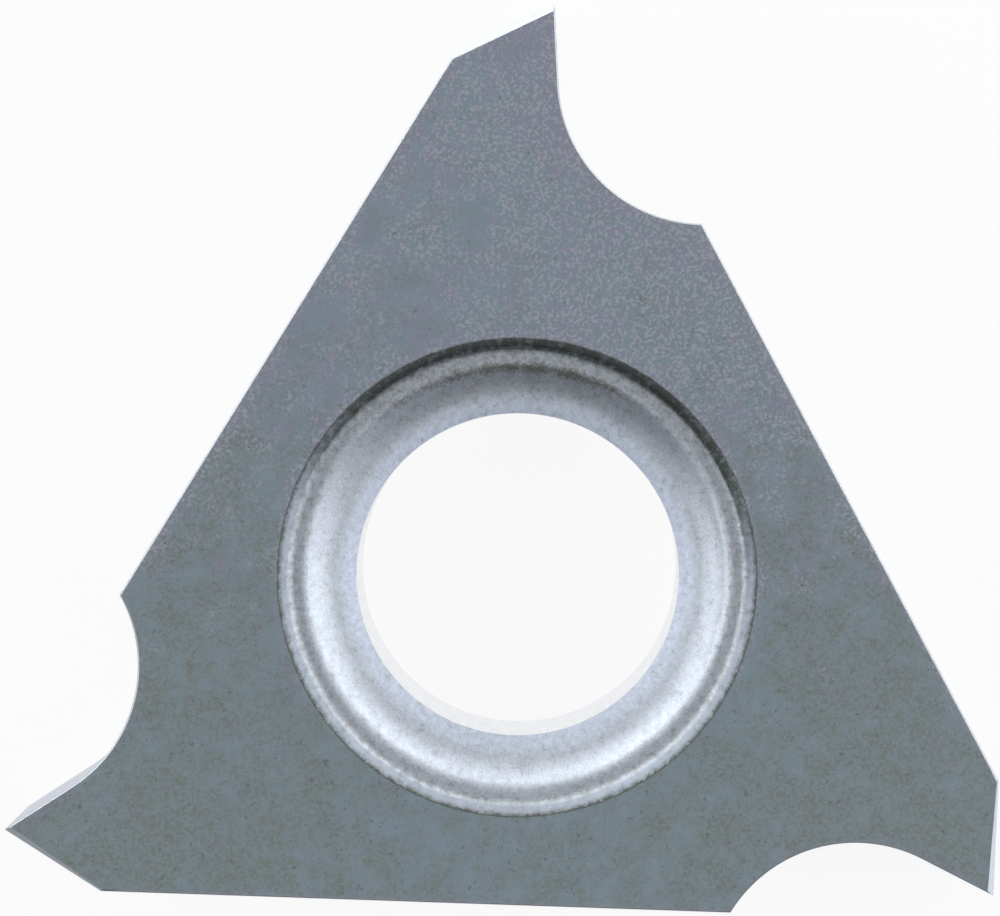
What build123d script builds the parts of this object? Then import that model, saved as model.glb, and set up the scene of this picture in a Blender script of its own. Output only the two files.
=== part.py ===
from build123d import *
import os
from math import acos, cos, degrees, radians, sin, tan

# A three-cornered carbide insert for back turning and cutting off on small lathes.
# It is one sintered and ground piece, held flat in its pocket by a countersunk clamp screw.
# The origin is on the hole's axis in the plane of the seating face, with +Z out of the screw's mouth.
# Each corner is drawn with its theoretical sharp apex on +Y and is then turned round the axis.
# Going clockwise, a corner has a heel, a flank, a tip, a straight rake and a round chip gullet.

# Body
corner_count = 3
inscribed_diameter = 9.525  # circle that the long locating sides touch
thickness = 3.18  # between the two ground faces

# Cutting corner
tip_setback = 1.22  # theoretical apex down to the tip, along the corner's centre line
tip_offset = 0.27  # tip to the clockwise side of that centre line
flank_angle = 30.5  # degrees that the flank turns in from the long side before it
wedge_angle = 65.2  # degrees of carbide between flank and rake at the tip
rake_length = 1.17  # straight stretch from the tip to the gullet
gullet_radius = 2.11

# Nose flats, ground along both flat faces' edges of each flank, wider towards the tip
nose_width_at_tip = 0.09
nose_width_at_heel = 0.03

# Screw hole, from the back face up to the mouth
# Slopes are in degrees from flat, and each stretch above the lip runs smoothly into the next.
screw_diameter = 4.0
screw_clearance = 0.72  # over the screw's diameter
back_chamfer = 0.15
lip_slope = 38.0  # where the bore breaks into the throat
throat_round = 0.80  # radius of the throat, which flattens outwards
dish_floor_slope = 16.0  # where the throat turns into the dish
dish_round = 0.89  # radius of the dish, the hollow seat for the screw's head
dish_rim_slope = 44.0  # at the outside of the dish
dish_rim_round = 0.25  # radius over the rim, onto the ledge
ledge_width = 0.045  # flat part
cove_round = 0.15  # radius from the ledge up into the mouth's wall
mouth_wall_slope = 68.0
mouth_wall_width = 0.105  # seen from above, straight part

# Room that a cutter runs past the face that it cuts through
cutter_overrun = 1.0

half_pitch = 180.0 / corner_count
pitch = 2.0 * half_pitch
inscribed_radius = inscribed_diameter / 2.0
bore_radius = (screw_diameter + screw_clearance) / 2.0


def heading(angle):
    """Unit vector in the plane of the faces, at an angle in degrees from +X."""
    return Vector(cos(radians(angle)), sin(radians(angle)))


def tip_point():
    apex_reach = inscribed_radius / cos(radians(half_pitch))
    return Vector(tip_offset, apex_reach - tip_setback)


def flank_heading():
    return half_pitch - flank_angle


def heel_point():
    """Where the flank, run back from the tip, meets the long side before it."""
    side_normal = heading(90.0 + half_pitch)
    along_flank = heading(flank_heading())
    shortfall = inscribed_radius - tip_point().dot(side_normal)
    return tip_point() - along_flank * (shortfall / -along_flank.dot(side_normal))


def rake_heading():
    return flank_heading() + 180.0 + wedge_angle


def gullet_sweep():
    """Degrees of arc from the end of the rake to the long side after it."""
    gullet_start = tip_point() + heading(rake_heading()) * rake_length
    gullet_centre = gullet_start + heading(rake_heading() + 90.0) * gullet_radius
    side_angle = 90.0 - half_pitch
    centre_outside = gullet_centre.dot(heading(side_angle)) - inscribed_radius
    end_angle = side_angle - degrees(acos(-centre_outside / gullet_radius))
    start_angle = rake_heading() - 90.0
    return (end_angle - start_angle) % 360.0


def corner_edges():
    """One corner and the long side after it, up to the next corner's heel."""
    rake_end = tip_point() + heading(rake_heading()) * rake_length
    flank = Line(heel_point(), tip_point())
    rake = Line(tip_point(), rake_end)
    gullet = JernArc(rake_end, heading(rake_heading()), gullet_radius, gullet_sweep())
    long_side = Line(gullet @ 1, heel_point().rotate(Axis.Z, -pitch))
    return [flank, rake, gullet, long_side]


def blank():
    """The ground outline, through the whole thickness."""
    edges = [Rot(Z=-pitch * turn) * edge for turn in range(corner_count) for edge in corner_edges()]
    return extrude(make_face(edges), thickness)


def seat_edges():
    """The turned profile above the lip: throat, dish, rim, ledge, cove and wall, going outwards."""
    throat = JernArc((bore_radius, 0.0), heading(lip_slope), throat_round, dish_floor_slope - lip_slope)
    dish = JernArc(throat @ 1, throat % 1, dish_round, dish_rim_slope - dish_floor_slope)
    rim = JernArc(dish @ 1, dish % 1, dish_rim_round, -dish_rim_slope)
    ledge = Line(rim @ 1, (rim @ 1) + Vector(ledge_width, 0.0))
    cove = JernArc(ledge @ 1, ledge % 1, cove_round, mouth_wall_slope)
    wall_run = Vector(mouth_wall_width, mouth_wall_width * tan(radians(mouth_wall_slope)))
    wall = Line(cove @ 1, (cove @ 1) + wall_run)
    return [throat, dish, rim, ledge, cove, wall]


def hole_cutter():
    """The hole, turned from its profile, with the top of the mouth's wall in the flat face."""
    seat = seat_edges()
    mouth = seat[-1] @ 1
    lift = Vector(0.0, thickness - mouth.Y)
    top = thickness + cutter_overrun
    back_radius = bore_radius + back_chamfer
    closing = Polyline(
        mouth + lift,
        (mouth.X, top),
        (0.0, top),
        (0.0, -cutter_overrun),
        (back_radius, -cutter_overrun),
        (back_radius, 0.0),
        (bore_radius, back_chamfer),
        (seat[0] @ 0) + lift,
    )
    profile = make_face([Pos(lift) * edge for edge in seat] + [closing])
    return revolve(Plane.XZ * profile, axis=Axis.Z)


def nose_plane(face_height, outward):
    """Plane of the first corner's nose flat on one face; outward is +1 on top and -1 on the back."""
    inward = heading(flank_heading() - 90.0)
    lift = Vector(0.0, 0.0, face_height)
    at_heel = heel_point() + inward * nose_width_at_heel + lift
    at_tip = tip_point() + inward * nose_width_at_tip + lift
    down_tip = tip_point() + lift - Vector(0.0, 0.0, outward * nose_width_at_tip)
    along = at_tip - at_heel
    return Plane(origin=at_tip, x_dir=along, z_dir=along.cross(down_tip - at_tip) * outward)


def insert_body():
    """The holed blank, indexed round so that each corner in turn has its two nose flats ground."""
    body = blank() - hole_cutter()
    for _ in range(corner_count):
        for face_height, outward in ((thickness, 1.0), (0.0, -1.0)):
            body = split(body, bisect_by=nose_plane(face_height, outward), keep=Keep.BOTTOM)
        body = Rot(Z=pitch) * body
    return body


os.makedirs("parts", exist_ok=True)
export_step(insert_body(), "parts/insert_body.step")
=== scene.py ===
"""Looks of a triangular cemented-carbide turning insert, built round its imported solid."""

import logging
import math
from dataclasses import dataclass, field
from enum import Enum

import bpy
import numpy as np
from mathutils import Matrix, Vector


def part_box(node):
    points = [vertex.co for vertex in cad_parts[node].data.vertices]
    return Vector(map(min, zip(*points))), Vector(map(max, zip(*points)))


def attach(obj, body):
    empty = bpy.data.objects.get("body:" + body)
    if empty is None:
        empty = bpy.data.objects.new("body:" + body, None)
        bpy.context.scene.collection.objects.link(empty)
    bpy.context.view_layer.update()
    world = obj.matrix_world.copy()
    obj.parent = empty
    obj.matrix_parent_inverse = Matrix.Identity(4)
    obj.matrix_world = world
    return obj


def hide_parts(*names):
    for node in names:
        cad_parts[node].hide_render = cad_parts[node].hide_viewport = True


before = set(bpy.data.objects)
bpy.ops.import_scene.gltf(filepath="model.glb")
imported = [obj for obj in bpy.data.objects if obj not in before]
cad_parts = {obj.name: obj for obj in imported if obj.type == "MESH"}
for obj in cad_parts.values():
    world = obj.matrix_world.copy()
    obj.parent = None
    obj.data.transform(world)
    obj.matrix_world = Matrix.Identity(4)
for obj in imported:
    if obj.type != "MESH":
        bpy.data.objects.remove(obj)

log = logging.getLogger("carbide_insert")

Socket = bpy.types.NodeSocket
Tree = bpy.types.NodeTree

MM = 0.001  # metres in a millimetre
IMAGE_WIDTH_PX = 1000

# Rings along each run of the screw hole's profile.
BORE_RINGS = 6
THROAT_STEPS = 8
DISH_STEPS = 24
RIM_STEPS = 10
COVE_STEPS = 10
WALL_STEPS = 4

# Zones of the hole that the finishes read as attributes, each a share from 0 to 1. The pocket is
# the cove and the wall together, and the mouth is the hole's edge in the flat face. The wall's
# shares and the pocket's say where painted shade lies.
ZONES = ("throat", "rim", "ledge", "wall", "pocket", "mouth")


def millimetres(value: float) -> float:
    """Metres for a length given in millimetres."""
    return value * MM


def heading(degrees: float | np.ndarray) -> np.ndarray:
    """Unit vectors in the face's plane: the cosine and the sine of each angle.

    Args:
        degrees: One angle or an array of angles from +X.

    Returns:
        An array whose last axis holds x and y.
    """
    radians = np.radians(degrees)
    return np.stack((np.cos(radians), np.sin(radians)), axis=-1)


def turned(points: np.ndarray, degrees: float) -> np.ndarray:
    """Points turned about the hole's axis.

    Args:
        points: An array of x and y rows.
        degrees: The turn, anticlockwise.

    Returns:
        The turned rows.
    """
    x_axis = heading(degrees)
    y_axis = heading(degrees + 90.0)
    return points[:, :1] * x_axis + points[:, 1:] * y_axis


def even_shares(count: int) -> np.ndarray:
    """Shares of a run from 0 up to, but without, 1."""
    return np.arange(count) / count


def between(start: np.ndarray, end: np.ndarray, shares: np.ndarray) -> np.ndarray:
    """Points at these shares of the way from start to end."""
    return start + (end - start) * shares[:, None]


def about(ring: int, width: int) -> slice:
    """A run of rings, of this width, about one ring."""
    return slice(ring - (width + 1) // 2, ring + width // 2)


def mitred(
    point: np.ndarray,
    first: np.ndarray,
    first_inset: float,
    second: np.ndarray,
    second_inset: float,
) -> np.ndarray:
    """A corner of two straight edges after both have moved inwards.

    The corner's move has the first inset along the first normal and the second inset along the
    second, which are two linear equations.

    Args:
        point: The corner.
        first: The outward normal of the edge that arrives.
        first_inset: How far that edge moves.
        second: The outward normal of the edge that leaves.
        second_inset: How far that edge moves.

    Returns:
        The moved corner.
    """
    return point - np.linalg.solve(np.stack((first, second)), np.array((first_inset, second_inset)))


class Ground(Enum):
    """How the carbide's surface was made, in the order of the piece's material slots."""

    FACE = 0
    EDGE = 1
    SINTERED = 2
    BORE = 3


@dataclass
class Outline:
    """The ground outline as columns round the insert, clockwise, one corner repeated.

    Lengths are in millimetres. A corner is a flank from heel to tip, a straight rake, a round
    gullet and a long side up to the next heel. A ring is this outline moved inwards: its corners
    are mitred, and its columns keep their shares of every run between two corners.
    """

    inscribed_radius: float
    corner_count: int = 3
    tip_setback: float = 1.22
    tip_offset: float = 0.27
    flank_angle: float = 30.5
    wedge_angle: float = 65.2
    rake_length: float = 1.17
    gullet_radius: float = 2.11
    nose_at_tip: float = 0.09
    nose_at_heel: float = 0.03
    hone: float = 0.030
    flank_columns: int = 16
    rake_columns: int = 8
    gullet_columns: int = 44
    side_columns: int = 86
    tip: np.ndarray = field(init=False)
    heel: np.ndarray = field(init=False)
    gullet_centre: np.ndarray = field(init=False)
    side_shares: np.ndarray = field(init=False)

    def __post_init__(self) -> None:
        """Works out the corner's points and the long side's column shares."""
        apex = self.inscribed_radius / math.cos(math.radians(self.half_pitch))
        self.tip = np.array((self.tip_offset, apex - self.tip_setback))
        along = heading(self.flank_heading)
        before = heading(90.0 + self.half_pitch)
        shortfall = self.inscribed_radius - self.tip @ before
        self.heel = self.tip + along * shortfall / (along @ before)
        rake_end = self.tip + heading(self.rake_heading) * self.rake_length
        self.gullet_centre = rake_end + heading(self.rake_heading + 90.0) * self.gullet_radius
        self.side_shares = self._equal_bearings()

    @property
    def half_pitch(self) -> float:
        """Half the angle from one corner to the next, in degrees."""
        return 180.0 / self.corner_count

    @property
    def flank_heading(self) -> float:
        """The way from heel to tip, in degrees."""
        return self.half_pitch - self.flank_angle

    @property
    def rake_heading(self) -> float:
        """The way from the tip along the rake, in degrees."""
        return self.flank_heading + 180.0 + self.wedge_angle

    @property
    def corner_columns(self) -> int:
        """Columns of one corner and the long side after it."""
        return self.flank_columns + self.rake_columns + self.gullet_columns + self.side_columns

    def _equal_bearings(self) -> np.ndarray:
        """Spaces the long side's columns at equal bearings from the axis.

        The place along the side is the inscribed radius times the tangent of the bearing from
        the side's middle.

        Returns:
            Each column's share of the way along the side.
        """
        along = heading(-self.half_pitch)
        next_heel = turned(self.heel[None], -2.0 * self.half_pitch)[0]
        first = math.atan2(self.gullet_arc(0.0)[-1] @ along, self.inscribed_radius)
        last = math.atan2(next_heel @ along, self.inscribed_radius)
        run = np.tan(first + (last - first) * np.linspace(0.0, 1.0, self.side_columns + 1))
        return ((run - run[0]) / (run[-1] - run[0]))[:-1]

    def gullet_arc(self, inset: float) -> np.ndarray:
        """The gullet's columns, up to and with the place where it meets the long side.

        They are at even angles on a circle, from the rake to where the circle crosses the side.

        Args:
            inset: How far the gullet and the side are moved inwards.

        Returns:
            One row more than the gullet's columns.
        """
        radius = self.gullet_radius + inset
        facing = 90.0 - self.half_pitch
        outside = self.gullet_centre @ heading(facing) - self.inscribed_radius + inset
        start = self.rake_heading - 90.0
        end = facing + 180.0 + math.degrees(math.acos(outside / radius))
        shares = np.linspace(0.0, 1.0, self.gullet_columns + 1)
        return self.gullet_centre + heading(start + (end - start) * shares) * radius

    def ring(self, inset: float, heel_width: float, tip_width: float) -> np.ndarray:
        """The outline moved inwards.

        Args:
            inset: How far the rake, gullet and long side move.
            heel_width: How far the flank moves at the heel.
            tip_width: How far the flank moves at the tip.

        Returns:
            A row of x and y a column.
        """
        flank_normal = heading(self.flank_heading + 90.0)
        rake_normal = heading(self.rake_heading + 90.0)
        side_normal = heading(90.0 + self.half_pitch)
        heel = mitred(self.heel, side_normal, inset, flank_normal, heel_width)
        tip = mitred(self.tip, flank_normal, tip_width, rake_normal, inset)
        arc = self.gullet_arc(inset)
        next_heel = turned(heel[None], -2.0 * self.half_pitch)[0]
        corner = np.concatenate((
            between(heel, tip, even_shares(self.flank_columns)),
            between(tip, arc[0], even_shares(self.rake_columns) ** 2),
            arc[:-1],
            between(arc[-1], next_heel, self.side_shares),
        ))
        turns = [-2.0 * self.half_pitch * k for k in range(self.corner_count)]
        return np.concatenate([turned(corner, turn) for turn in turns])

    def face_ring(self, inset: float) -> np.ndarray:
        """A ring in the flat face, this far inside the broken edge."""
        return self.ring(self.hone + inset, self.nose_at_heel + inset, self.nose_at_tip + inset)

    def edge_ring(self, share: float) -> tuple[np.ndarray, np.ndarray]:
        """One ring of the broken edge between a flat face and the ground sides.

        A nose flat goes straight from its full width on the face to its full depth on the flank.
        Elsewhere the edge is a quarter round of the hone's radius.

        Args:
            share: 0 on the face and 1 on the side.

        Returns:
            The ring's points, and each one's depth below the face.
        """
        angle = share * math.pi / 2.0
        inset = self.hone * (1.0 - math.sin(angle))
        left = 1.0 - share
        points = self.ring(inset, self.nose_at_heel * left, self.nose_at_tip * left)
        depth = np.full(self.corner_columns, self.hone * (1.0 - math.cos(angle)))
        nose = np.linspace(self.nose_at_heel, self.nose_at_tip, self.flank_columns + 1)
        depth[: self.flank_columns + 1] = nose * share
        return points, np.tile(depth, self.corner_count)


@dataclass
class ScrewHole:
    """The hole's turned profile, from the back face up to the mouth, in millimetres.

    Above the bore the profile is one smooth run of arcs. Its slope falls from the lip to the
    dish's floor, climbs to the dish's rim, falls to the flat ledge and climbs to the wall.
    The shares say ring by ring how far painted shade covers the cove and the wall.
    """

    thickness: float
    bore_radius: float = 2.36
    back_chamfer: float = 0.15
    lip_slope: float = 38.0
    throat_round: float = 0.80
    floor_slope: float = 16.0
    dish_round: float = 0.89
    rim_slope: float = 44.0
    rim_round: float = 0.25
    ledge_width: float = 0.045
    cove_round: float = 0.15
    wall_slope: float = 68.0
    wall_width: float = 0.105
    lip_hone: float = 0.012
    mouth_wander: float = 0.004
    mouth_waves: tuple[int, int] = (30, 170)
    mouth_seed: int = 11
    throat_fade: int = 9
    ledge_spread: int = 15
    # Shares of painted shade: they dull the cove's highlight and darken the wall towards the mouth.
    cove_shade_shares: tuple[float, ...] = (0.1, 0.2, 0.25, 0.3, 0.35, 0.4, 0.35, 0.2, 0.1, 0.05)
    wall_shade_shares: tuple[float, ...] = (0.05, 0.2, 0.6, 1.0)
    pocket_shade_shares: tuple[float, ...] = (0.3, 0.6, 0.9, 1.0, 1.0, 1.0)

    def profile(self) -> np.ndarray:
        """Radius and height of every ring.

        Along an arc of radius R the profile moves outwards by R times the change of the slope's
        sine, and up or down by R times the change of its cosine.

        Returns:
            Radius and height rows, from the back face to the mouth's edge.
        """
        turns = (
            (self.throat_round, self.lip_slope, self.floor_slope, THROAT_STEPS),
            (self.dish_round, self.floor_slope, self.rim_slope, DISH_STEPS),
            (self.rim_round, self.rim_slope, 0.0, RIM_STEPS),
            (self.cove_round, 0.0, self.wall_slope, COVE_STEPS),
        )
        runs = [np.array([[self.bore_radius, 0.0]])]
        for radius, first, last, steps in turns:
            slope = np.radians(np.linspace(first, last, steps + 1)[1:])
            start = math.radians(first)
            outwards = np.abs(np.sin(slope) - math.sin(start)) * radius
            upwards = np.abs(np.cos(slope) - math.cos(start)) * radius
            if first == 0.0:
                runs.append(runs[-1][-1:] + (self.ledge_width, 0.0))
            runs.append(runs[-1][-1] + np.stack((outwards, upwards), axis=-1))
        foot = runs[-1][-1]
        rise = self.wall_width * math.tan(math.radians(self.wall_slope))
        wall = between(foot, foot + (self.wall_width, rise), 1.0 - even_shares(WALL_STEPS)[::-1])
        seat = np.concatenate(runs + [wall])
        seat[:, 1] += self.thickness - seat[-1, 1]
        heights = np.linspace(self.back_chamfer, seat[0, 1] - self.lip_hone, BORE_RINGS)
        bore = np.column_stack((np.full(BORE_RINGS, self.bore_radius), heights))
        back = np.array([[self.bore_radius + self.back_chamfer, 0.0]])
        return np.concatenate((back, bore, seat))

    def zones(self, count: int) -> dict[str, np.ndarray]:
        """How far each zone of the finish covers every ring.

        The throat's share falls evenly over the rings about its end. The rim's and the ledge's
        are half waves of a sine. The wall's and the pocket's are given ring by ring.

        Args:
            count: Rings of the profile.

        Returns:
            A share from 0 to 1 for every ring, by the zone's name.
        """
        throat_end = 1 + BORE_RINGS + 1 + THROAT_STEPS
        rim_start = throat_end + DISH_STEPS * 2 // 3
        rim_end = throat_end + DISH_STEPS + RIM_STEPS
        ledge_wave = np.linspace(0.3, math.pi - 0.3, self.ledge_spread)
        zones = {name: np.zeros(count) for name in ZONES}
        zones["throat"][:throat_end] = 1.0
        fade = np.linspace(1.0, 0.0, self.throat_fade)
        zones["throat"][about(throat_end, self.throat_fade)] = fade
        zones["rim"][rim_start:rim_end] = np.sin(np.linspace(0.0, math.pi, rim_end - rim_start))
        zones["ledge"][about(rim_end, self.ledge_spread)] = np.sin(ledge_wave)
        zones["wall"][-COVE_STEPS - WALL_STEPS :] = self.cove_shade_shares + self.wall_shade_shares
        pocket = self.pocket_shade_shares + (1.0,) * WALL_STEPS
        zones["pocket"][-len(pocket) :] = pocket
        zones["mouth"][-1] = 1.0
        return zones

    def raggedness(self, angles: np.ndarray) -> np.ndarray:
        """How far the mouth's edge wanders in and out, where the grinding broke its grains.

        A sum of cosines of the angle, with so many waves a turn, each of a seeded size and phase.

        Args:
            angles: The angle of every column, in radians.

        Returns:
            A distance for every column.
        """
        rng = np.random.default_rng(self.mouth_seed)
        waves = np.arange(*self.mouth_waves)
        sizes = rng.normal(size=len(waves))
        phases = rng.uniform(0.0, 2.0 * math.pi, len(waves))
        total = (np.cos(np.outer(angles, waves) + phases) * sizes).sum(axis=1)
        return total * (self.mouth_wander / total.std())


@dataclass
class InsertBody:
    """The whole insert as one closed grid: columns round the axis, rings round its section.

    The insets are the distances in millimetres of the rings that lie in a flat face, from its
    outer edge and from the hole.
    """

    name: str
    outline: Outline
    hole: ScrewHole
    edge_steps: int = 8
    wall_margin: float = 0.04
    face_insets: tuple[float, ...] = (0.30, 0.16, 0.08, 0.03)
    mouth_insets: tuple[float, ...] = (0.03, 0.08, 0.16, 0.30)
    sharp_angle: float = 14.0

    def half_section(self) -> tuple[list[np.ndarray], list[Ground], list[float]]:
        """Rings from the innermost inset of a flat face out over its edge and onto the wall.

        Returns:
            Rows of x, y and depth below the face for every ring, the surface that leaves each
            ring outwards, and each ring's distance from the face's edge.
        """
        outline = self.outline
        rings: list[np.ndarray] = []
        for inset in self.face_insets:
            points = outline.face_ring(inset)
            rings.append(np.column_stack((points, np.zeros(len(points)))))
        for step in range(self.edge_steps + 1):
            rings.append(np.column_stack(outline.edge_ring(step / self.edge_steps)))
        points, depth = outline.edge_ring(1.0)
        rings.append(np.column_stack((points, depth + self.wall_margin)))
        edge_rings = self.edge_steps + 2
        grounds = [Ground.FACE] * len(self.face_insets) + [Ground.EDGE] * edge_rings
        return rings, grounds, list(self.face_insets) + [0.0] * edge_rings

    def rings(self) -> tuple[np.ndarray, dict[str, np.ndarray]]:
        """Every ring of the section, from the back of the bore round to the back face's inside.

        Returns:
            Points by ring, column and axis, and a value a ring of each field: the surface that
            leaves it, its distance from the nearest edge of its face, and the zones.
        """
        thickness = self.hole.thickness
        far = self.face_insets[0]
        inner = self.outline.face_ring(far)
        circle = inner / np.linalg.norm(inner, axis=1, keepdims=True)
        flat = np.zeros(len(inner))
        profile = self.hole.profile()
        half, grounds, distances = self.half_section()
        top = [circle * (profile[-1, 0] + inset) for inset in self.mouth_insets]
        back = [circle * (profile[0, 0] + inset) for inset in self.mouth_insets]
        top.append((top[-1] + inner) / 2.0)
        back.append((back[-1] + inner) / 2.0)
        rings = [np.column_stack((circle * radius, flat + height)) for radius, height in profile]
        ragged = self.hole.raggedness(np.arctan2(inner[:, 1], inner[:, 0]))[:, None]
        rings[-1][:, :2] += circle * ragged
        rings += [np.column_stack((ring, flat + thickness)) for ring in top]
        rings += [ring * (1.0, 1.0, -1.0) + (0.0, 0.0, thickness) for ring in half]
        rings += half[::-1]
        rings += [np.column_stack((ring, flat)) for ring in back[::-1]]
        surfaces = [Ground.BORE] * BORE_RINGS
        surfaces += [Ground.SINTERED] * (len(profile) - 1 - BORE_RINGS)
        surfaces += [Ground.FACE] * (1 + len(top)) + grounds
        surfaces += grounds[-2::-1] + [Ground.FACE] * (1 + len(back))
        mouth = list(self.mouth_insets)
        edge = [0.0] * len(profile) + mouth + [far] + distances
        edge += distances[::-1] + [far] + mouth[::-1]
        fields = {
            "surface": np.array([surface.value for surface in surfaces]),
            "edge_distance": np.array(edge),
        }
        for name, shares in self.hole.zones(len(profile)).items():
            fields[name] = np.pad(shares, (0, len(rings) - len(shares)))
        return np.stack(rings), fields

    def build(self) -> bpy.types.Object:
        """Makes the closed mesh, with its sharp edges and the attributes its finishes read.

        Returns:
            The new object, at the origin.
        """
        points, fields = self.rings()
        ring_count, column_count, _ = points.shape
        index = np.arange(ring_count * column_count).reshape(ring_count, column_count)
        across = np.roll(index, -1, axis=1)
        up, both = np.roll(index, -1, axis=0), np.roll(across, -1, axis=0)
        faces = np.stack((index, across, both, up), axis=-1).reshape(-1, 4)
        flat_points = points.reshape(-1, 3) * MM
        if signed_volume(flat_points, faces) < 0.0:
            faces = faces[:, ::-1]
        mesh = bpy.data.meshes.new(self.name)
        mesh.from_pydata(flat_points.tolist(), [], faces.tolist())
        surface = np.repeat(fields["surface"], column_count).astype(np.int32)
        mesh.polygons.foreach_set("material_index", surface)
        mesh.polygons.foreach_set("use_smooth", np.ones(len(faces), dtype=bool))
        for name in ("edge_distance",) + ZONES:
            values = np.repeat(fields[name], column_count).astype(np.float32)
            mesh.attributes.new(name, "FLOAT", "POINT").data.foreach_set("value", values)
        mesh.set_sharp_from_angle(angle=math.radians(self.sharp_angle))
        mesh.update()
        body = bpy.data.objects.new(self.name, mesh)
        bpy.context.scene.collection.objects.link(body)
        return body


def signed_volume(points: np.ndarray, quads: np.ndarray) -> float:
    """Volume inside a closed mesh, negative when its faces point inwards.

    Each quad is two triangles, and each triangle gives a sixth of the triple product of its
    corners.

    Args:
        points: Vertex rows.
        quads: Rows of four vertex numbers.

    Returns:
        The volume in cubic units of the points.
    """
    a, b, c, d = (points[quads[:, k]] for k in range(4))
    first = np.einsum("ij,ij->i", a, np.cross(b, c))
    second = np.einsum("ij,ij->i", a, np.cross(c, d))
    return float((first + second).sum() / 6.0)


# Materials


def linear(hex_colour: str) -> tuple[float, float, float, float]:
    """An sRGB hex colour as Blender's linear red, green, blue and alpha.

    Args:
        hex_colour: Six hex digits after a hash.

    Returns:
        The four linear values.
    """
    parts = [int(hex_colour[k : k + 2], 16) / 255.0 for k in (1, 3, 5)]
    made = [p / 12.92 if p <= 0.04045 else ((p + 0.055) / 1.055) ** 2.4 for p in parts]
    return (made[0], made[1], made[2], 1.0)


def add_node(
    tree: Tree, kind: str, inputs: dict[str | int, object], **settings: object
) -> bpy.types.bpy_prop_collection:
    """Adds a shader node with its settings and links.

    Args:
        tree: The node tree.
        kind: Blender's name for the node, without its first word, ShaderNode.
        inputs: For each input, by name or number, a socket to link from or a constant value.
        settings: Attributes of the node, by name.

    Returns:
        The new node's outputs, by name or number.
    """
    node = tree.nodes.new("ShaderNode" + kind)
    for name, value in settings.items():
        setattr(node, name, value)
    for key, value in inputs.items():
        socket = node.inputs[key]
        if isinstance(value, Socket):
            tree.links.new(value, socket)
        else:
            socket.default_value = value
    return node.outputs


def new_material(name: str) -> tuple[bpy.types.Material, Tree]:
    """An empty node material.

    Args:
        name: The material's name.

    Returns:
        The material and its node tree.
    """
    material = bpy.data.materials.new(name)
    material.use_nodes = True
    material.node_tree.nodes.clear()
    return material, material.node_tree


def per_metre(feature_mm: float) -> float:
    """The scale on object coordinates that gives a pattern features of this size."""
    return 1.0 / millimetres(feature_mm)


@dataclass(frozen=True)
class Pattern:
    """A noise's seed, the size of its features in millimetres, and its character."""

    seed: float
    size: float
    detail: float
    roughness: float
    distortion: float = 0.0


# The wheel's diamonds are about 0.05 mm, which sets the flecks, strokes and pores. The carbide's
# own grains are about 0.001 mm, too fine to show, so the grain is drawn as coarse as it needs.
FACE_PATTERNS = {
    "grain": Pattern(7.0, 0.038, 2.0, 0.8),
    "bloom": Pattern(1.0, 0.60, 5.0, 0.70),
    "stain": Pattern(2.0, 0.45, 4.0, 0.70),
    "flecks": Pattern(6.0, 0.065, 2.0, 0.6, 0.8),
    "strokes": Pattern(3.0, 0.048, 1.0, 0.5, 0.3),
    "smears": Pattern(4.0, 0.70, 5.0, 0.75),
    "pores": Pattern(5.0, 0.065, 1.0, 0.5, 0.9),
}


@dataclass(frozen=True)
class FaceGuides:
    """The ground face's node tree, and the sockets that guide its patterns.

    Across is x in metres. Far goes from -1 to 1 along y and steers the painted light that makes the
    face lighter towards +Y, and margin goes from 1 on an edge to 0 inside it. Noise holds the value
    of each of the face's patterns.
    """

    tree: Tree
    across: Socket
    far: Socket
    margin: Socket
    noise: dict[str, Socket]


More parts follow.
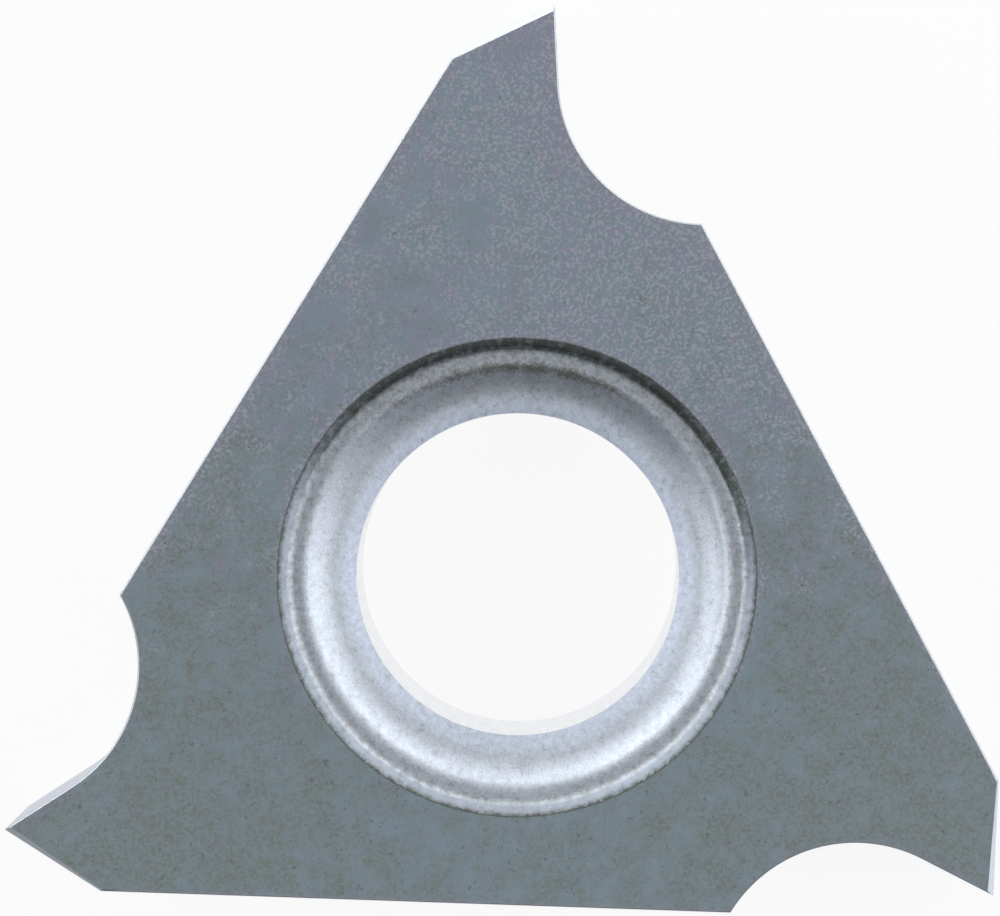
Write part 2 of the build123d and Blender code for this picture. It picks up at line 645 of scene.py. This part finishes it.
@dataclass(frozen=True)
class SurfaceGroundCarbide:
    """Cemented carbide, surface ground on a flat bed with a diamond wheel.

    Seen as a satin blue-grey with a fine haze of paler grain. A lavender bloom and short pale
    smears of torn binder lie on it in clouds, denser along every edge, where the wheel's pressure
    fell off, and towards the corner on +Y. Olive flecks, where the wheel loaded, keep away from
    that corner and from the plane x = 0. That the face grows lighter and more lavender towards +Y,
    and more olive away from it, is painted light. Pores are dark, and so is the broken line of torn
    grains round the hole's mouth.
    """

    name: str = "surface_ground_carbide"
    blue: str = "#A1BDC7"
    haze: str = "#B1BDCB"
    lavender: str = "#B3B4C9"
    olive: str = "#999A8C"
    smear: str = "#CFD5DF"
    pore: str = "#6F7064"
    roughness: float = 0.42
    relief: float = 0.0012  # millimetres
    margin: float = 0.20  # millimetres in from an edge
    # Painted light: over this span of y the face is painted lighter and more lavender towards +Y.
    painted_light_span: tuple[float, float] = (-5.0, 4.5)  # millimetres of y over which the mottle changes

    def make(self) -> bpy.types.Material:
        """Builds the material from its colours, one laid over the other.

        Returns:
            The new material.
        """
        material, tree = new_material(self.name)
        guides = self._guides(tree)
        marked = self._marked(guides, self._mottled(guides))
        relief = add_node(tree, "Bump", {
            "Height": guides.noise["grain"], "Strength": 1.0,
            "Distance": millimetres(self.relief)})[0]
        shader = add_node(tree, "BsdfPrincipled", {
            "Base Color": marked, "Metallic": 1.0, "Roughness": self.roughness,
            "Normal": relief})[0]
        add_node(tree, "OutputMaterial", {"Surface": shader})
        return material

    def _guides(self, tree: Tree) -> FaceGuides:
        """Adds the nodes that guide the patterns.

        Args:
            tree: The material's node tree.

        Returns:
            The tree and their sockets.
        """
        place = add_node(tree, "TexCoord", {})["Object"]
        axes = add_node(tree, "SeparateXYZ", {0: place})
        edge = add_node(tree, "Attribute", {}, attribute_name="edge_distance")["Fac"]
        far = add_node(tree, "MapRange", {
            "Value": axes[1], "From Min": millimetres(self.painted_light_span[0]),
            "From Max": millimetres(self.painted_light_span[1]), "To Min": -1.0, "To Max": 1.0})[0]
        margin = add_node(tree, "MapRange", {
            "Value": edge, "From Min": self.margin, "From Max": 0.0},
            interpolation_type="SMOOTHSTEP")[0]
        noise = {}
        for name, pattern in FACE_PATTERNS.items():
            noise[name] = add_node(tree, "TexNoise", {
                "Vector": place, "W": pattern.seed, "Scale": per_metre(pattern.size),
                "Detail": pattern.detail, "Roughness": pattern.roughness,
                "Distortion": pattern.distortion}, noise_dimensions="4D")[0]
        return FaceGuides(tree, axes[0], far, margin, noise)

    def _mottled(self, guides: FaceGuides) -> Socket:
        """Lays the haze, the olive stain and the lavender bloom on the blue.

        Args:
            guides: What guides the patterns.

        Returns:
            The colour.
        """
        tree, noise = guides.tree, guides.noise

        # The bloom: a soft cloud, broken up by the grain, denser along the edges and, as painted
        # light, towards +Y.
        level = add_node(tree, "Math", {0: noise["bloom"], 1: 1.3}, operation="MULTIPLY")[0]
        for guide, weight in ((noise["grain"], 2.0), (guides.margin, 0.22), (guides.far, 0.22)):
            level = add_node(tree, "Math", {
                0: guide, 1: weight, 2: level}, operation="MULTIPLY_ADD")[0]
        bloom_share = add_node(tree, "MapRange", {
            "Value": level, "From Min": 1.77, "From Max": 1.99})[0]

        # The stain: soft flecks kept in clouds, more of them away from the plane x = 0.
        aside = add_node(tree, "Math", {0: guides.across}, operation="ABSOLUTE")[0]
        sides = add_node(tree, "MapRange", {
            "Value": aside, "From Min": millimetres(1.0), "From Max": millimetres(4.5),
            "To Min": -0.07, "To Max": 0.07})[0]
        stain_aside = add_node(tree, "Math", {0: noise["stain"], 1: sides}, operation="ADD")[0]
        stain_far = add_node(tree, "Math", {
            0: guides.far, 1: -0.06, 2: stain_aside}, operation="MULTIPLY_ADD")[0]
        stain_cloud = add_node(tree, "MapRange", {
            "Value": stain_far, "From Min": 0.38, "From Max": 0.62})[0]
        fleck_share = add_node(tree, "MapRange", {
            "Value": noise["flecks"], "From Min": 0.44, "From Max": 0.60,
            "To Min": 0.26, "To Max": 0.68})[0]
        stain_share = add_node(tree, "Math", {
            0: stain_cloud, 1: fleck_share}, operation="MULTIPLY")[0]

        grain_share = add_node(tree, "MapRange", {
            "Value": noise["grain"], "From Min": 0.38, "From Max": 0.62})[0]
        colour = linear(self.blue)
        for share, over in ((grain_share, self.haze), (stain_share, self.olive),
                            (bloom_share, self.lavender)):
            colour = add_node(tree, "Mix", {
                0: share, 6: colour, 7: linear(over)}, data_type="RGBA")[2]
        return colour

    def _marked(self, guides: FaceGuides, colour: Socket) -> Socket:
        """Lays the pale smears and the dark pores on a colour.

        Args:
            guides: What guides the patterns.
            colour: The colour under them.

        Returns:
            The colour with them.
        """
        tree, noise = guides.tree, guides.noise

        # Smears: short thick strokes at a noise's highest values, in clouds. Towards the corner on
        # +Y, where they paint the face lighter, the clouds lean to the side of +X.
        stroke = add_node(tree, "MapRange", {
            "Value": noise["strokes"], "From Min": 0.49, "From Max": 0.60})[0]
        plus_x_lean = add_node(tree, "MapRange", {
            "Value": guides.across, "From Min": millimetres(-1.0), "From Max": millimetres(1.8),
            "To Min": 0.0, "To Max": 0.09})[0]
        level = noise["smears"]
        for guide, weight in ((guides.margin, 0.12), (guides.far, 0.15), (guides.far, plus_x_lean)):
            level = add_node(tree, "Math", {
                0: guide, 1: weight, 2: level}, operation="MULTIPLY_ADD")[0]
        cloud = add_node(tree, "MapRange", {
            "Value": level, "From Min": 0.53, "From Max": 0.68, "To Max": 0.74})[0]
        smear_share = add_node(tree, "Math", {0: stroke, 1: cloud}, operation="MULTIPLY")[0]

        # Pores: a noise's lowest values, and the grains torn out at the hole's mouth.
        pores_far = add_node(tree, "Math", {
            0: guides.far, 1: 0.02, 2: noise["pores"]}, operation="MULTIPLY_ADD")[0]
        pore_share = add_node(tree, "MapRange", {
            "Value": pores_far, "From Min": 0.35, "From Max": 0.24, "To Max": 0.5})[0]
        mouth = add_node(tree, "Attribute", {}, attribute_name="mouth")["Fac"]
        torn = add_node(tree, "Math", {0: mouth, 1: noise["grain"]}, operation="ADD")[0]
        torn_share = add_node(tree, "MapRange", {
            "Value": torn, "From Min": 0.85, "From Max": 1.25, "To Max": 0.75})[0]
        dark_share = add_node(tree, "Math", {0: pore_share, 1: torn_share}, operation="MAXIMUM")[0]

        for share, over in ((smear_share, self.smear), (dark_share, self.pore)):
            colour = add_node(tree, "Mix", {
                0: share, 6: colour, 7: linear(over)}, data_type="RGBA")[2]
        return colour


@dataclass(frozen=True)
class PeripheryGroundCarbide:
    """Cemented carbide, plunge ground round its periphery with a fine wheel.

    Seen as a brighter bluish satin, with faint lines that run round the insert, and duller on
    the broken edges, which were stoned by hand. The wheel's lines are a few micrometres apart,
    too fine to show, so they are drawn ten times as coarse.
    """

    name: str = "periphery_ground_carbide"
    bright: str = "#C3C8D7"
    dull: str = "#A7ADBA"
    stoned: str = "#A3AAB2"
    roughness: float = 0.34
    relief: float = 0.001  # millimetres
    line_spacing: float = 0.03  # millimetres
    patch_size: float = 0.10  # millimetres

    def make(self) -> bpy.types.Material:
        """Builds the material.

        Returns:
            The new material.
        """
        material, tree = new_material(self.name)
        place = add_node(tree, "TexCoord", {})["Object"]
        flattened = add_node(tree, "Mapping", {"Vector": place, "Scale": (0.06, 0.06, 1.0)})[0]
        lines = add_node(tree, "TexNoise", {
            "Vector": flattened, "Scale": per_metre(self.line_spacing),
            "Detail": 3.0, "Roughness": 0.6})[0]
        patches = add_node(tree, "TexNoise", {
            "Vector": place, "Scale": per_metre(self.patch_size),
            "Detail": 3.0, "Roughness": 0.7})[0]
        line_share = add_node(tree, "MapRange", {
            "Value": lines, "From Min": 0.4, "From Max": 0.65})[0]
        patch_share = add_node(tree, "MapRange", {
            "Value": patches, "From Min": 0.45, "From Max": 0.7})[0]
        dull_share = add_node(tree, "Math", {0: line_share, 1: patch_share}, operation="MAXIMUM")[0]
        tint = add_node(tree, "Mix", {
            0: dull_share, 6: linear(self.bright), 7: linear(self.dull)}, data_type="RGBA")[2]

        # The sides face level, so whatever faces up or down is a broken edge or a nose flat.
        normal = add_node(tree, "NewGeometry", {})["Normal"]
        facing = add_node(tree, "SeparateXYZ", {0: normal})[2]
        tilt = add_node(tree, "Math", {0: facing}, operation="ABSOLUTE")[0]
        stoned_share = add_node(tree, "MapRange", {
            "Value": tilt, "From Min": 0.1, "From Max": 0.4})[0]
        edged = add_node(tree, "Mix", {
            0: stoned_share, 6: tint, 7: linear(self.stoned)}, data_type="RGBA")[2]
        relief = add_node(tree, "Bump", {
            "Height": lines, "Strength": 1.0, "Distance": millimetres(self.relief)})[0]
        shader = add_node(tree, "BsdfPrincipled", {
            "Base Color": edged, "Metallic": 1.0, "Roughness": self.roughness, "Normal": relief})[0]
        add_node(tree, "OutputMaterial", {"Surface": shader})
        return material


@dataclass(frozen=True)
class SeatGuides:
    """The sintered seat's node tree, and the sockets that guide its patterns.

    Y is in metres. Zones are the shares of the hole's zones. Patches, speckle and specks are
    noises, grains is the noise of the relief, and feather is patches and grains together, for
    ragged borders. Far goes from 0 to 1 on the side towards +Y, and painted shade is where the
    pocket is painted dark on that side.
    """

    tree: Tree
    y: Socket
    zones: dict[str, Socket]
    patches: Socket
    speckle: Socket
    specks: Socket
    grains: Socket
    feather: Socket
    far: Socket
    painted_shade: Socket


@dataclass(frozen=True)
class SinteredCarbide:
    """Cemented carbide, as sintered: pressed to shape and left as it came from the furnace.

    Seen as a silvery skin of fused grains, finely speckled with lilac, with broad highlights. It is
    paler and duller in the throat, partly where it was brushed before sintering and partly painted
    light, and it is gritty on the ledge. Painted shade lies on the cove and the mouth's wall,
    darkest at the mouth's edge, and over both on the side towards +Y, where the roughness is also
    tighter. Along the dish's rim on that side it is painted darker and browner, partly a stain and
    partly painted shade. Its grains are about 0.001 mm, too fine to show, so the speckle and the
    relief are drawn as coarse as they need.
    """

    name: str = "as_sintered_carbide"
    silver: str = "#BECBD1"
    dull: str = "#B2BFC6"
    lilac: str = "#CFCEDB"
    # The throat's pale colour: partly a brushed finish and partly painted light.
    brushed_and_sheen: str = "#EAF0FB"
    grit: str = "#828B87"
    # Painted shade: the dark colour laid on the mouth's wall and on the pocket towards +Y.
    painted_shade: str = "#62665E"
    # Partly a brown stain and partly painted shade, on the dish's rim towards +Y.
    stain: str = "#7E7C6E"
    roughness: float = 0.52
    relief: float = 0.006  # millimetres
    patch_size: float = 0.30  # millimetres, as the next three
    speckle_size: float = 0.028
    speck_size: float = 0.10
    grain_size: float = 0.040

    def make(self) -> bpy.types.Material:
        """Builds the material from its colours, one laid over the other.

        Returns:
            The new material.
        """
        material, tree = new_material(self.name)
        guides = self._guides(tree)
        soiled = self._soiled(guides, self._skin(guides))
        shade = add_node(tree, "MapRange", {
            "Value": guides.specks, "From Min": 0.35, "From Max": 0.65,
            "To Min": 1.07, "To Max": 0.90})[0]
        shaded = add_node(tree, "VectorMath", {0: soiled, "Scale": shade}, operation="SCALE")[0]
        duller = add_node(tree, "Math", {
            0: guides.zones["throat"], 1: 0.33, 2: self.roughness}, operation="MULTIPLY_ADD")[0]
        tighter = add_node(tree, "Math", {
            0: guides.painted_shade, 1: -0.22, 2: duller}, operation="MULTIPLY_ADD")[0]
        relief = add_node(tree, "Bump", {
            "Height": guides.grains, "Strength": 1.0, "Distance": millimetres(self.relief)})[0]
        shader = add_node(tree, "BsdfPrincipled", {
            "Base Color": shaded, "Metallic": 1.0, "Roughness": tighter, "Normal": relief})[0]
        add_node(tree, "OutputMaterial", {"Surface": shader})
        return material

    def _guides(self, tree: Tree) -> SeatGuides:
        """Adds the nodes that guide the patterns.

        Args:
            tree: The material's node tree.

        Returns:
            The tree and their sockets.
        """
        place = add_node(tree, "TexCoord", {})["Object"]
        axes = add_node(tree, "SeparateXYZ", {0: place})
        zones = {
            name: add_node(tree, "Attribute", {}, attribute_name=name)["Fac"]
            for name in ("throat", "rim", "ledge", "wall", "pocket")
        }
        # Drawn out along z, so that the steep wall doesn't show streaks from above.
        pressed = add_node(tree, "Mapping", {"Vector": place, "Scale": (1.0, 1.0, 0.25)})[0]
        patches = add_node(tree, "TexNoise", {
            "Vector": pressed, "Scale": per_metre(self.patch_size),
            "Detail": 5.0, "Roughness": 0.7})[0]
        grains = add_node(tree, "TexNoise", {
            "Vector": place, "Scale": per_metre(self.grain_size),
            "Detail": 3.0, "Roughness": 0.65})[0]
        speckle = add_node(tree, "TexNoise", {
            "Vector": pressed, "W": 3.0, "Scale": per_metre(self.speckle_size),
            "Detail": 2.0, "Roughness": 0.8}, noise_dimensions="4D")[0]
        specks = add_node(tree, "TexNoise", {
            "Vector": pressed, "W": 2.0, "Scale": per_metre(self.speck_size),
            "Detail": 3.0, "Roughness": 0.8}, noise_dimensions="4D")[0]
        feather = add_node(tree, "Math", {0: patches, 1: grains}, operation="ADD")[0]
        far = add_node(tree, "MapRange", {
            "Value": axes[1], "From Min": millimetres(2.0), "From Max": millimetres(3.2)})[0]
        # Painted shade: the pocket is darkened on the side towards +Y, its border leaning a little
        # with x.
        askew = add_node(tree, "Math", {
            0: axes[0], 1: 0.15, 2: axes[1]}, operation="MULTIPLY_ADD")[0]
        shaded_far_side = add_node(tree, "MapRange", {
            "Value": askew, "From Min": millimetres(0.3), "From Max": millimetres(2.2)})[0]
        painted_shade = add_node(tree, "Math", {0: shaded_far_side, 1: zones["pocket"]}, operation="MULTIPLY")[0]
        return SeatGuides(
            tree, axes[1], zones, patches, speckle, specks, grains, feather, far, painted_shade)

    def _skin(self, guides: SeatGuides) -> Socket:
        """Lays the lilac speckle, the brushed throat and the brown stain on the silver.

        Args:
            guides: What guides the patterns.

        Returns:
            The colour.
        """
        tree, zones = guides.tree, guides.zones
        patch_share = add_node(tree, "MapRange", {
            "Value": guides.patches, "From Min": 0.42, "From Max": 0.62})[0]
        lilac_share = add_node(tree, "MapRange", {
            "Value": guides.speckle, "From Min": 0.42, "From Max": 0.58, "To Max": 0.9})[0]

        # The throat's border is feathered, as bristles leave it. Its paleness is partly a brushed
        # finish and partly painted light: it reaches less far on the side towards -Y, a change by
        # side that is painted light.
        painted_light_reach = add_node(tree, "MapRange", {
            "Value": guides.y, "From Min": -millimetres(4.4), "From Max": 0.0})[0]
        reached = add_node(tree, "Math", {0: painted_light_reach, 1: zones["throat"]}, operation="MULTIPLY")[0]
        feathered = add_node(tree, "Math", {
            0: guides.feather, 1: 0.7, 2: reached}, operation="MULTIPLY_ADD")[0]
        brushed_and_sheen_share = add_node(tree, "MapRange", {
            "Value": feathered, "From Min": 0.80, "From Max": 1.65, "To Max": 0.9})[0]

        # Along the rim on the side towards +Y the skin is painted darker and browner, partly a
        # stain and partly painted shade, with a ragged, broken border.
        stain_and_shade_rim = add_node(tree, "Math", {0: guides.far, 1: zones["rim"]}, operation="MULTIPLY")[0]
        broken = add_node(tree, "Math", {
            0: guides.feather, 1: 1.7, 2: stain_and_shade_rim}, operation="MULTIPLY_ADD")[0]
        stain_share = add_node(tree, "MapRange", {
            "Value": broken, "From Min": 2.00, "From Max": 2.60, "To Max": 0.8})[0]

        colour = linear(self.silver)
        for share, over in ((patch_share, self.dull), (lilac_share, self.lilac),
                            (brushed_and_sheen_share, self.brushed_and_sheen), (stain_share, self.stain)):
            colour = add_node(tree, "Mix", {
                0: share, 6: colour, 7: linear(over)}, data_type="RGBA")[2]
        return colour

    def _soiled(self, guides: SeatGuides, colour: Socket) -> Socket:
        """Lays grit and soot on a colour.

        Args:
            guides: What guides the patterns.
            colour: The colour under them.

        Returns:
            The colour with them.
        """
        tree, zones = guides.tree, guides.zones

        # Grit: thin in the throat, thicker on the ledge, where it collects.
        level = guides.specks
        for guide, weight in ((zones["throat"], -0.04), (guides.far, 0.07), (zones["ledge"], 0.07)):
            level = add_node(tree, "Math", {
                0: guide, 1: weight, 2: level}, operation="MULTIPLY_ADD")[0]
        grit_share = add_node(tree, "MapRange", {
            "Value": level, "From Min": 0.57, "From Max": 0.75, "To Max": 0.45})[0]

        # Painted shade: in mottled clumps, on the cove and the wall by the wall's shares, and over
        # the pocket on the side towards +Y.
        plain = add_node(tree, "Math", {0: guides.painted_shade, 1: zones["wall"]}, operation="MAXIMUM")[0]
        painted_shade_mottle = add_node(tree, "MapRange", {
            "Value": guides.specks, "From Min": 0.38, "From Max": 0.58,
            "To Min": 0.62, "To Max": 1.25})[0]
        painted_shade_share = add_node(tree, "Math", {
            0: plain, 1: painted_shade_mottle}, operation="MULTIPLY", use_clamp=True)[0]

        for share, over in ((grit_share, self.grit), (painted_shade_share, self.painted_shade)):
            colour = add_node(tree, "Mix", {
                0: share, 6: colour, 7: linear(over)}, data_type="RGBA")[2]
        return colour


@dataclass(frozen=True)
class PinFormedCarbide:
    """Cemented carbide, as sintered, in a bore that the press's core pin has burnished.

    Seen as a smooth pale wall, with faint marks drawn out along the bore, that mirrors what lies
    under the hole when it is looked along.
    """

    name: str = "pin_formed_carbide"
    pale: str = "#EDF0F5"
    dull: str = "#E4E8EE"
    roughness: float = 0.18
    mark_width: float = 0.12  # millimetres

    def make(self) -> bpy.types.Material:
        """Builds the material.

        Returns:
            The new material.
        """
        material, tree = new_material(self.name)
        place = add_node(tree, "TexCoord", {})["Object"]
        drawn_out = add_node(tree, "Mapping", {"Vector": place, "Scale": (1.0, 1.0, 0.12)})[0]
        draw_marks = add_node(tree, "TexNoise", {
            "Vector": drawn_out, "Scale": per_metre(self.mark_width),
            "Detail": 4.0, "Roughness": 0.6})[0]
        mark_share = add_node(tree, "MapRange", {
            "Value": draw_marks, "From Min": 0.4, "From Max": 0.65})[0]
        tint = add_node(tree, "Mix", {
            0: mark_share, 6: linear(self.pale), 7: linear(self.dull)}, data_type="RGBA")[2]
        shader = add_node(tree, "BsdfPrincipled", {
            "Base Color": tint, "Metallic": 1.0, "Roughness": self.roughness})[0]
        add_node(tree, "OutputMaterial", {"Surface": shader})
        return material


# Studio


@dataclass(frozen=True)
class Panel:
    """A soft light that faces the insert, with its radiance, where 1 is a white sheet.

    Angles are in degrees and lengths in millimetres.
    """

    name: str
    azimuth: float
    elevation: float
    width: float
    height: float
    radiance: float
    distance: float = 300.0

    def hang(self) -> None:
        """Adds the panel's lamp to the scene."""
        a, e = math.radians(self.azimuth), math.radians(self.elevation)
        toward = Vector((math.cos(a) * math.cos(e), math.sin(a) * math.cos(e), math.sin(e)))
        lamp = bpy.data.lights.new(self.name, "AREA")
        lamp.shape = "RECTANGLE"
        lamp.size = millimetres(self.width)
        lamp.size_y = millimetres(self.height)
        lamp.energy = self.radiance * math.pi * lamp.size * lamp.size_y
        panel = bpy.data.objects.new(self.name, lamp)
        panel.location = toward * millimetres(self.distance)
        panel.rotation_euler = toward.to_track_quat("Z", "Y").to_euler()
        panel.visible_camera = False
        bpy.context.scene.collection.objects.link(panel)


PANELS = (
    Panel("overhead", 90.0, 82.0, 120.0, 84.0, 0.2),
    Panel("high_back", 90.0, 58.0, 200.0, 140.0, 0.86),
    Panel("high_front", 270.0, 58.0, 200.0, 140.0, 1.07),
    Panel("high_left", 180.0, 58.0, 160.0, 140.0, 0.97),
    Panel("high_right", 0.0, 58.0, 160.0, 140.0, 1.33),
    Panel("mid_back", 90.0, 33.0, 330.0, 120.0, 0.94),
    Panel("mid_left", 180.0, 33.0, 250.0, 120.0, 3.05),
    Panel("mid_right", 0.0, 33.0, 250.0, 120.0, 2.08),
    Panel("low_back", 90.0, 10.0, 235.0, 100.0, 3.6),
    Panel("low_back_left", 135.0, 10.0, 235.0, 100.0, 6.7),
    Panel("low_back_right", 45.0, 10.0, 235.0, 100.0, 5.55),
    Panel("low_left", 180.0, 10.0, 235.0, 100.0, 1.25),
    Panel("low_right", 0.0, 10.0, 235.0, 100.0, 3.85),
    Panel("low_front_right", 315.0, 10.0, 235.0, 100.0, 0.4),
)


@dataclass
class Studio:
    """Plain pale floor, soft panels of light and the camera, in millimetres."""

    thickness: float
    floor_size: float = 600.0
    surround: float = 0.01
    paper_glow: float = 0.9
    camera_place: tuple[float, float] = (0.6, 4.5)
    camera_height: float = 70.0
    aim: tuple[float, float] = (-0.3029, 1.7274)
    roll: float = -1.865
    focal_px: float = 4844.5
    sensor_mm: float = 36.0
    clip: tuple[float, float] = (1.0, 5000.0)

    def light_world(self) -> None:
        """A plain grey surround for the light, and white where the camera sees past the floor."""
        world = bpy.data.worlds.new("studio_world")
        bpy.context.scene.world = world
        world.use_nodes = True
        tree = world.node_tree
        tree.nodes.clear()
        path = add_node(tree, "LightPath", {})["Is Camera Ray"]
        around = add_node(tree, "Background", {"Color": (self.surround,) * 3 + (1.0,)})[0]
        white = add_node(tree, "Background", {"Color": (1.0, 1.0, 1.0, 1.0)})[0]
        seen = add_node(tree, "MixShader", {0: path, 1: around, 2: white})[0]
        add_node(tree, "OutputWorld", {"Surface": seen})

    def lay_floor(self) -> None:
        """White paper that glows to the eye and in polished metal, and keeps a faint shadow."""
        half = millimetres(self.floor_size) / 2.0
        corners = [(-half, -half, 0.0), (half, -half, 0.0), (half, half, 0.0), (-half, half, 0.0)]
        mesh = bpy.data.meshes.new("floor")
        mesh.from_pydata(corners, [], [(0, 1, 2, 3)])
        material, tree = new_material("matt_white_paper")
        path = add_node(tree, "LightPath", {})
        paper = add_node(tree, "BsdfDiffuse", {"Color": linear("#F2F2F2")})[0]
        glow = add_node(tree, "Emission", {"Color": (1.0, 1.0, 1.0, 1.0), "Strength": 1.0})[0]
        direct = add_node(tree, "Math", {
            0: path["Is Camera Ray"], 1: path["Is Glossy Ray"]}, operation="MAXIMUM")[0]
        share = add_node(tree, "Math", {0: direct, 1: self.paper_glow}, operation="MULTIPLY")[0]
        seen = add_node(tree, "MixShader", {0: share, 1: paper, 2: glow})[0]
        add_node(tree, "OutputMaterial", {"Surface": seen})
        mesh.materials.append(material)
        floor = bpy.data.objects.new("floor", mesh)
        bpy.context.scene.collection.objects.link(floor)

    def set_camera(self) -> None:
        """The camera, almost square to the ground face, a little towards one corner."""
        place = Vector((*self.camera_place, self.thickness + self.camera_height)) * MM
        aim = Vector((*self.aim, self.thickness)) * MM
        forward = (aim - place).normalized()
        roll = math.radians(self.roll)
        right = forward.cross(Vector((math.sin(roll), math.cos(roll), 0.0))).normalized()
        up = right.cross(forward)
        data = bpy.data.cameras.new("camera")
        data.sensor_width = self.sensor_mm
        data.lens = self.focal_px / IMAGE_WIDTH_PX * self.sensor_mm
        data.clip_start, data.clip_end = (millimetres(distance) for distance in self.clip)
        camera = bpy.data.objects.new("camera", data)
        basis = Matrix((right, up, -forward)).transposed().to_4x4()
        camera.matrix_world = Matrix.Translation(place) @ basis
        bpy.context.scene.collection.objects.link(camera)
        bpy.context.scene.camera = camera

    def set_up(self) -> None:
        """Builds the whole studio."""
        self.light_world()
        self.lay_floor()
        for panel in PANELS:
            panel.hang()
        self.set_camera()


def main() -> None:
    """Builds the insert and its studio, and reports each piece."""
    logging.basicConfig(level=logging.INFO, format="%(name)s: %(message)s")
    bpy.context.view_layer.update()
    bpy.context.scene.view_settings.view_transform = "Standard"
    low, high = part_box("insert_body")
    thickness = (high.z - low.z) / MM
    outline = Outline(inscribed_radius=-low.y / MM)
    piece = InsertBody("carbide_insert", outline, ScrewHole(thickness))
    body = piece.build()
    finishes = (
        SurfaceGroundCarbide(), PeripheryGroundCarbide(), SinteredCarbide(), PinFormedCarbide())
    for finish in finishes:
        body.data.materials.append(finish.make())
    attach(body, "root")
    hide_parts("insert_body")
    log.info("%s: %d faces", body.name, len(body.data.polygons))
    Studio(thickness).set_up()
    log.info("studio: floor, panels and camera")


if __name__ == "__main__":
    main()
